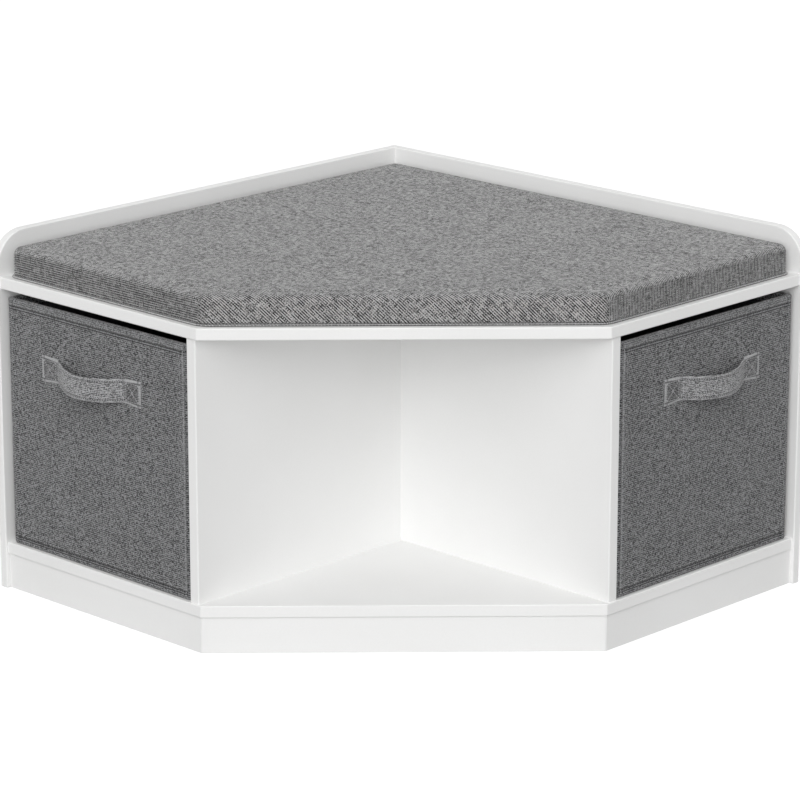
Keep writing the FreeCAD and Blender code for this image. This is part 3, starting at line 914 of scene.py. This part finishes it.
def strapShape():
    look = strap
    shape = bmesh.new()
    dark, worn = shades(shape)
    ring = bmesh.ops.create_circle(shape, segments=look["around"], radius=1, cap_ends=False)["verts"]
    ring.sort(key=lambda v: math.atan2(v.co.y, v.co.x))
    profile = []
    for vert in ring:  # a flat band with rounded edges
        angle = math.atan2(vert.co.y, vert.co.x)
        across = math.copysign(abs(math.cos(angle)) ** 0.55, math.cos(angle))
        proud = math.copysign(abs(math.sin(angle)) ** 0.75, math.sin(angle))
        profile.append((across, proud))
    edges = shape.edges[:]
    order = {vert: i for i, vert in enumerate(ring)}
    flat, atFold, atSeam = look["relief"]
    xFine, tFine = look["unevenScales"]
    xWide, tWide = look["waveScales"]
    for section in range(look["sections"] + 1):
        s = section / look["sections"]
        if section:
            edges, fresh = extrudeRim(shape, edges)
            order = {vert: nearestSlot(vert, last) for vert in fresh}
        centre, _, outward = strapPlace(s)
        sewn = sewnShare(centre.x)
        tip = min(s, 1 - s) * strapLength
        roundOff = min(1.0, 0.45 + tip / look["tip"] * 0.55)
        inner = look["free"] / 2
        far = smoothStep(abs(centre.x - strapMiddle), inner, inner + look["end"])
        width = look["width"] / 2 + look["flare"] * far
        edge = width - look["edge"]
        last = {}
        for vert, slot in order.items():
            across, proud = profile[slot]
            t = across * width
            fold = smoothStep(abs(t), edge - look["foldWidth"], edge)
            seam = ridge(abs(t) - (edge - look["seam"]), look["seamWidth"])
            half = look["thick"] / 2 * (flat + atFold * fold - atSeam * seam) * roundOff
            half *= 1 + look["uneven"] * noise.noise(Vector((centre.x * xFine, t * tFine, 3.7)))
            lift = look["wave"] * noise.noise(Vector((centre.x * xWide, t * tWide, 9.1))) * (1 - sewn)
            vert.co = centre + Vector((0, 0, t)) + outward * (half * proud + lift)
            last[slot] = vert.co.copy()
            rim = max(fold, smoothStep(-tip, -look["edge"], -look["edge"] + 1 * mm))
            endSeam = ridge(tip - look["edge"] - look["seam"], look["endSeamWidth"])
            # dark: stitch lines with painted shade beside the folded edges, and darker sewn ends; worn:
            # painted highlight on the folded edges and ends, and a lighter loose middle
            vert[dark] = max(seam, look["boxShade"] * (sewn * (1 - rim)), sewn * endSeam)
            vert[worn] = max(look["rimHighlight"] * rim * (0.3 + 0.7 * sewn), look["looseLighter"] * (1 - sewn))
    bmesh.ops.holes_fill(shape, edges=[e for e in shape.edges if e.is_boundary], sides=0)
    bmesh.ops.recalc_face_normals(shape, faces=shape.faces)
    mapCloth(shape, lambda p: (p.x * 1.1, p.z))
    return shape


def nearestSlot(vert, last):
    return min(last, key=lambda slot: (last[slot] - vert.co).length_squared)


def strapOut(x):
    # outer face of the strap at a place along it
    centre, along, outward = strapPlace((x - strapLow.x) / strapLength)
    return centre + outward * (strap["thick"] * strap["threadOut"][0]), along, outward


def strapStitching():
    # a row along each edge, and a crossed box on each sewn end
    look = strap
    shape = bmesh.new()
    seam = look["width"] / 2 - look["edge"] - look["seam"]
    length = strapLength - 2 * look["rowEnds"]
    count = round(length / strapThread["pitch"])
    for i in range(count):
        centre, along, outward = strapOut(strapLow.x + look["rowEnds"] + (i + 0.5) * length / count)
        for side in (-1, 1):
            addStitch(shape, centre + Vector((0, 0, side * seam)), along, outward, strapThread)
    outward = Vector((0, -1, 0))
    y = binFace - look["thick"] * look["threadOut"][1]
    for side in (-1, 1):
        inner = strapMiddle + side * (look["free"] / 2 + look["boxInset"])
        outer = strapMiddle + side * (look["free"] / 2 + look["end"] - look["boxInset"])
        places = ((inner, -seam), (outer, -seam), (outer, seam), (inner, seam))
        corners = [Vector((x, y, strapHeight + z)) for x, z in places]
        for start, end in ((1, 2), (3, 0), (0, 2), (1, 3)):
            addRow(shape, corners[start], corners[end], outward, strapThread)
    return shape


# Seat cushion: a boxed pad, swelled by a cloth simulation, then sewn
cushion = {
    "corner": 14.0 * mm,
    "topRound": 8.0 * mm,
    "lowRound": 3.0 * mm,
    "slack": 1.0 * mm,  # how much smaller it starts
    "voxel": 6.0 * mm,
    "pressure": 4.0,
    "mass": 0.3,
    "frames": 20,
    "heldFoot": (2.0 * mm, 6.0 * mm),  # where the foot and the corner seams let go
    "heldSeam": (8.0 * mm, 16.0 * mm),
    "heldBelow": 6.0 * mm,  # under the top; nothing is held above
    "topRise": 2.0 * mm,  # how far the top and the sides may swell, or sink
    "sideSwell": 1.5 * mm,
    "sink": 0.3 * mm,
    "cover": 1.15 * mm,
    "wraps": 3,
    "cutRises": (0.7, 1.4, 2.3, 3.4, 4.6),  # mm from the foot and from the top
    "cutDrops": (0.8, 2.0, 3.4, 5.0, 7.0),
    "zipRoom": (3.0 * mm, 4.0 * mm, 0.1 * mm),  # above and below it, past its ends, and behind it
    "seamDepth": 1.2 * mm,
    "seamWidth": 2.2 * mm,
    "seamShade": (0.9, 1.1 * mm),  # painted shade along the upright seams, with their needle holes: strength and width
    "weltShade": (0.9, 3.2 * mm, 1.1 * mm),  # painted shade in the crevice above the welt: strength, height and width
    "flankShade": (0.36, 0.3),  # painted shade on the front and the right-hand side
    "wave": 0.5 * mm,
    "waveScales": (9, 24),
    "ripple": 0.35 * mm,  # on the sides
    "rippleScale": 30,
}
cushionThread = {"pitch": 4.0 * mm, "length": 2.9 * mm, "thick": 0.8 * mm}
cushionRows = {
    "fromSeam": 2.2 * mm,
    "seamEnds": (5.0 * mm, 6.0 * mm),  # left free at the foot and the top
    "footHeight": 3.4 * mm,
    "footEnds": 12.0 * mm,
    "reach": 20.0 * mm,  # how far out the search for the cloth starts
}
cushionLow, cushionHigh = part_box("cushion_cover")
cushionLow.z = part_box("cushion_base_cloth")[0].z
frontSum = max(v.co.x - v.co.y for v in nodes["cushion_cover"].data.vertices)
zipLow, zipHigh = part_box("cushion_zip")


def cushionCorners(inset):
    near = cushionLow.x + inset
    far = cushionHigh.x - inset
    side = frontSum - inset * math.sqrt(2) - far
    return [Vector((near, -near, 0)), Vector((near, -far, 0)), Vector((side, -far, 0)),
            Vector((far, -side, 0)), Vector((far, -near, 0))]


def cushionSides():
    # each side as its outward direction and how far out it lies
    corners = cushionCorners(0)
    sides = []
    for start, end in zip(corners, corners[1:] + corners[:1]):
        run = (end - start).normalized()
        outward = Vector((run.y, -run.x, 0))
        sides.append((outward, outward.dot(start)))
    return sides


def outlineFace(shape, inset, z):
    verts = [shape.verts.new(corner + Vector((0, 0, z))) for corner in cushionCorners(inset)]
    return shape.faces.new(verts)


def startPad():
    look = cushion
    shape = bmesh.new()
    base = cushionLow.z + 0.2 * mm
    top = cushionHigh.z - look["slack"] * 0.5
    outlineFace(shape, look["slack"], base)
    extrudeUp(shape, top - base)
    upright = [e for e in shape.edges if abs(e.verts[0].co.z - e.verts[1].co.z) > 1 * mm]
    roundEdges(shape, upright, look["corner"] - look["slack"])
    roundEdges(shape, levelEdges(shape, top), look["topRound"])
    roundEdges(shape, levelEdges(shape, base), look["lowRound"])
    return shape


def roundEdges(shape, edges, radius, segments=5, kind="EDGES"):
    bmesh.ops.bevel(shape, geom=edges, offset=radius, offset_type="OFFSET", segments=segments,
                    profile=0.5, affect=kind, material=-1)


def levelEdges(shape, z):
    return [e for e in shape.edges if all(abs(v.co.z - z) < 0.01 * mm for v in e.verts)
            and len({round(f.normal.z) for f in e.link_faces}) > 1]


def applied(piece):
    # the piece's mesh with its modifiers applied
    view = bpy.context.evaluated_depsgraph_get()
    view.update()
    mesh = bpy.data.meshes.new_from_object(piece.evaluated_get(view))
    piece.modifiers.clear()
    piece.data = mesh
    return mesh


def swellPad(pad):
    look = cushion
    fixed = pad.vertex_groups.new(name="held")
    corners = cushionCorners(look["slack"])
    before = []
    for vert in pad.data.vertices:
        p = vert.co.copy()
        before.append(p)
        toSeam = min(Vector((p.x - c.x, p.y - c.y)).length for c in corners)
        held = 1 - smoothStep(p.z - cushionLow.z, *look["heldFoot"])
        if p.z < cushionHigh.z - look["heldBelow"]:
            held = max(held, 1 - smoothStep(toSeam, *look["heldSeam"]))
        fixed.add([vert.index], held, "REPLACE")
    cloth = pad.modifiers.new("swell", "CLOTH")
    cloth.settings.quality = 5
    cloth.settings.mass = look["mass"]
    cloth.settings.use_pressure = True
    cloth.settings.uniform_pressure_force = look["pressure"]
    cloth.settings.vertex_group_mass = "held"
    cloth.settings.effector_weights.gravity = 0
    cloth.point_cache.frame_start = 1
    cloth.point_cache.frame_end = look["frames"]
    for step in range(1, look["frames"] + 1):
        scene.frame_set(step)
    mesh = applied(pad)
    for vert, start in zip(mesh.vertices, before):
        move = vert.co - start
        move.z = max(-look["sink"], min(look["topRise"], move.z))
        level = Vector((move.x, move.y, 0))
        if level.length > look["sideSwell"]:
            level *= look["sideSwell"] / level.length
        vert.co = start + Vector((level.x, level.y, move.z))
    scene.frame_set(1)


def seamPlaces():
    # plan place of each upright corner seam and the way it faces
    sides = cushionSides()
    places = []
    for i, corner in enumerate(cushionCorners(0)):
        outward = (sides[i][0] + sides[i - 1][0]).normalized()
        half = math.acos(max(-1, min(1, sides[i][0].dot(sides[i - 1][0])))) / 2
        back = cushion["corner"] * (1 / math.cos(half) - 1)
        places.append((corner - outward * back, outward))
    return places


def sewPad(mesh):
    # upright corner seams, soft waves and ripples, and how dark each place is, with painted shade along the
    # seams and on two flanks
    look = cushion
    seams = seamPlaces()
    top = cushionHigh.z
    wide, fine = look["waveScales"]
    shade, shadeWidth = look["seamShade"]
    frontShade, rightShade = look["flankShade"]
    normals = [vert.normal.copy() for vert in mesh.vertices]
    sewn = mesh.attributes.new("sewn", "FLOAT", "POINT")
    lying = mesh.attributes.new("lying", "FLOAT", "POINT")
    for vert, normal in zip(mesh.vertices, normals):
        p = vert.co.copy()
        dark = 0.0
        upper = smoothStep(p.z, top - 8 * mm, top)
        wave = noise.noise(Vector((p.x * wide, p.y * wide, 0.4)))
        wave += 0.5 * noise.noise(Vector((p.x * fine, p.y * fine, 2)))
        p.z += look["wave"] * wave * upper
        side = (1 - upper) * smoothStep(p.z, cushionLow.z + 3 * mm, cushionLow.z + 8 * mm)
        p += normal * (look["ripple"] * noise.noise(p * look["rippleScale"]) * side)
        for place, outward in seams:
            gap = Vector((p.x - place.x, p.y - place.y, 0))
            if gap.length < 12 * mm and p.z > cushionLow.z + 1 * mm:
                sideways = abs(gap.dot(Vector((outward.y, -outward.x, 0))))
                fade = smoothStep(p.z, top - 5 * mm, top + 1 * mm)
                p -= outward * (look["seamDepth"] * (ridge(sideways, look["seamWidth"]) * (1 - fade)))
                # painted shade along the seam
                dark = shade * ridge(sideways, shadeWidth) * (1 - smoothStep(p.z, top - 4 * mm, top))
        # painted shade on the flanks facing -Y and +X
        front = frontShade * smoothStep(-normal.y, 0.8, 0.97)
        right = rightShade * smoothStep(normal.x, 0.8, 0.97)
        sewn.data[vert.index].value = max(dark, front + right)
        lying.data[vert.index].value = smoothStep(normal.z, 0.6, 0.95)
        vert.co = p


def wrapFoam(shape):
    # keeps the cloth its own thickness off the foam, and clear of the zip
    look = cushion
    foam = surfaceOf(nodes["cushion_foam"])
    over, past, behind = look["zipRoom"]
    cuts = [cushionLow.z + rise * mm for rise in look["cutRises"]]
    cuts += [cushionHigh.z - drop * mm for drop in look["cutDrops"]]
    for _ in range(look["wraps"]):
        cutAcross(shape, 2, cuts)
        for vert in shape.verts:
            p = vert.co
            foot, facing = foam.find_nearest(p)[:2]
            off = p - foot
            if off.dot(facing) < 0 or off.length < look["cover"]:
                p = foot + (off.normalized() if off.dot(facing) > 0.1 * mm else facing) * look["cover"]
            level = zipLow.z - over < p.z < zipHigh.z + over
            if level and zipLow.y - past < p.y < zipHigh.y + past:
                p.x = max(p.x, zipHigh.x + behind)
            p.z = max(p.z, cushionLow.z + 0.1 * mm)
            vert.co = p
    dark = shape.verts.layers.float["sewn"]
    shade, height, width = look["weltShade"]
    for vert in shape.verts:  # the shade above the welt
        vert[dark] = max(vert[dark], shade * ridge(vert.co.z - cushionLow.z - height, width))


def mapPad(shape):
    # the top cloth turns down over the sides, so its weave goes on over the edges
    cloth = shape.loops.layers.uv.new("cloth")
    sides = cushionSides()
    shape.normal_update()
    top = cushionHigh.z
    for face in shape.faces:
        centre = face.calc_center_median()
        outward = max(sides, key=lambda side: side[0].dot(centre) - side[1])[0]
        for loop in face.loops:
            p = loop.vert.co
            unrolled = p + outward * max(0.0, top - p.z)
            loop[cloth].uv = (unrolled.x, unrolled.y)


def makeCushion():
    pad = newObject("cushionPad", meshFrom("cushionPad", startPad()))
    remesh = pad.modifiers.new("remesh", "REMESH")
    remesh.mode = "VOXEL"
    remesh.voxel_size = cushion["voxel"]
    applied(pad)
    swellPad(pad)
    finer = pad.modifiers.new("finer", "SUBSURF")
    finer.levels = 1
    finer.render_levels = 1
    mesh = applied(pad)
    sewPad(mesh)
    shape = bmesh.new()
    shape.from_mesh(mesh)
    bpy.data.objects.remove(pad)
    wrapFoam(shape)
    mapPad(shape)
    replaced = ("cushion_cover",)
    piece = finishPiece("cushion_pad", shape, "grey_fabric", "cushion", replaced, 60)
    return piece


def cushionStitching(surface):
    # a row on each side of the upright seams, and one along the foot of the sides
    look = cushionRows
    pitch = cushionThread["pitch"]
    reach = look["reach"]
    foot, head = look["seamEnds"]
    shape = bmesh.new()
    for place, outward in seamPlaces():
        side = Vector((outward.y, -outward.x, 0))
        for offset in (-look["fromSeam"], look["fromSeam"]):
            z = cushionLow.z + foot
            while z < cushionHigh.z - head:
                start = place + side * offset + outward * reach
                hit = surface.ray_cast(Vector((start.x, start.y, z)), -outward)
                if hit[0] is not None:
                    addStitch(shape, hit[0], Vector((0, 0, 1)), hit[1], cushionThread)
                z += pitch
    corners = cushionCorners(0)
    for i, (outward, _) in enumerate(cushionSides()):
        run = corners[(i + 1) % 5] - corners[i]
        length = run.length - 2 * look["footEnds"]
        count = round(length / pitch)
        for step in range(count):
            along = look["footEnds"] + (step + 0.5) * length / count
            place = corners[i] + run.normalized() * along + outward * reach
            z = cushionLow.z + look["footHeight"]
            hit = surface.ray_cast(Vector((place.x, place.y, z)), -outward)
            if hit[0] is not None:
                addStitch(shape, hit[0], run.normalized(), outward, cushionThread)
    return shape


weltEdge = {
    "proud": 1.2 * mm,
    "lift": 0.1 * mm,
    "corner": 0.8,  # share of the cushion's corner radius
    "width": 3.6 * mm,
    "thick": 2.2 * mm,
    "round": 0.6 * mm,
    "lower": (0.9 * mm, 0.9),  # height and shade of its lower edge
    # painted highlight on the welt above its lower edge
    "worn": 0.6,
}


def welt():
    # narrow sewn edge that runs round the foot of the cushion
    look = weltEdge
    shape = bmesh.new()
    face = outlineFace(shape, -look["proud"], cushionLow.z + look["lift"])
    roundEdges(shape, face.verts[:], cushion["corner"] * look["corner"], 6, "VERTICES")
    bmesh.ops.inset_region(shape, faces=shape.faces[:], thickness=look["width"], use_even_offset=True,
                           use_boundary=True)
    inner = max(shape.faces, key=lambda f: f.calc_area())
    bmesh.ops.delete(shape, geom=[inner], context="FACES_ONLY")
    extrudeUp(shape, look["thick"])
    rims = [e for e in shape.edges if len(e.link_faces) == 2 and e.calc_face_angle() > 1.2]
    roundEdges(shape, rims, look["round"], 3)
    mapCloth(shape, lambda p: (p.x + p.z, p.y))
    dark, worn = shades(shape)
    height, shade = look["lower"]
    # painted shade along the lower edge, where it meets the seat, and a painted highlight above it
    for vert in shape.verts:
        low = vert.co.z < cushionLow.z + height
        vert[dark] = shade if low else 0.0
        vert[worn] = 0.0 if low else look["worn"]
    return shape


# Zip along the cushion's left rear side, facing -X
zipper = {
    "tape": 0.8 * mm,
    "tapeGrid": 8.0 * mm,
    "pitch": 1.5 * mm,
    "tooth": (0.6 * mm, 0.42 * mm, 1.3 * mm),  # half sizes
    "toothOut": 1.3 * mm,  # outwards from the tape's inner face
    "apart": 0.5 * mm,  # up and down from the middle, in turn
    "ends": 5.0 * mm,
}


def zipTape():
    shape = bmesh.new()
    middle = (zipLow + zipHigh) / 2
    size = Vector((zipper["tape"], zipHigh.y - zipLow.y, zipHigh.z - zipLow.z))
    middle.x = zipHigh.x - size.x / 2
    bmesh.ops.create_cube(shape, size=1, matrix=placed(middle, size))
    cutAcross(shape, 1, spread(zipLow.y, zipHigh.y, zipper["tapeGrid"]))
    mapCloth(shape, lambda p: (p.y, p.z))
    return shape


def zipTeeth():
    shape = bmesh.new()
    start, end = zipLow.y + zipper["ends"], zipHigh.y - zipper["ends"]
    middle = (zipLow.z + zipHigh.z) / 2
    for i in range(int((end - start) / zipper["pitch"])):
        side = 1 if i % 2 else -1
        y = start + i * zipper["pitch"]
        place = Vector((zipHigh.x - zipper["toothOut"], y, middle + side * zipper["apart"]))
        addCopy(shape, oneStitch, placed(place, zipper["tooth"]))
    return shape


scene.view_settings.view_transform = "Standard"
makeCamera()
makeSuns()
makeSky()
makeFloor()
dressNodes()
bothSides("fabric", binFabric, "bin_fabric", "cover")
thickenBins()
bothSides("stitching", binStitching, "binThread")
bothSides("edge_stitching", edgeStitching, "strapThread")
bothSides("strap", strapShape, "strap", "handle", 60)
bothSides("strap_stitching", strapStitching, "strapThread")
pad = makeCushion()
stitching = cushionStitching(surfaceOf(pad))
finishPiece("cushion_stitching", stitching, "cushionThread", "cushion")
finishPiece("cushion_welt", welt(), "grey_fabric", "cushion")
finishPiece("cushion_zip_tape", zipTape(), "zip_tape", "cushion", ("cushion_zip",))
finishPiece("cushion_zip_teeth", zipTeeth(), "binThread", "cushion")
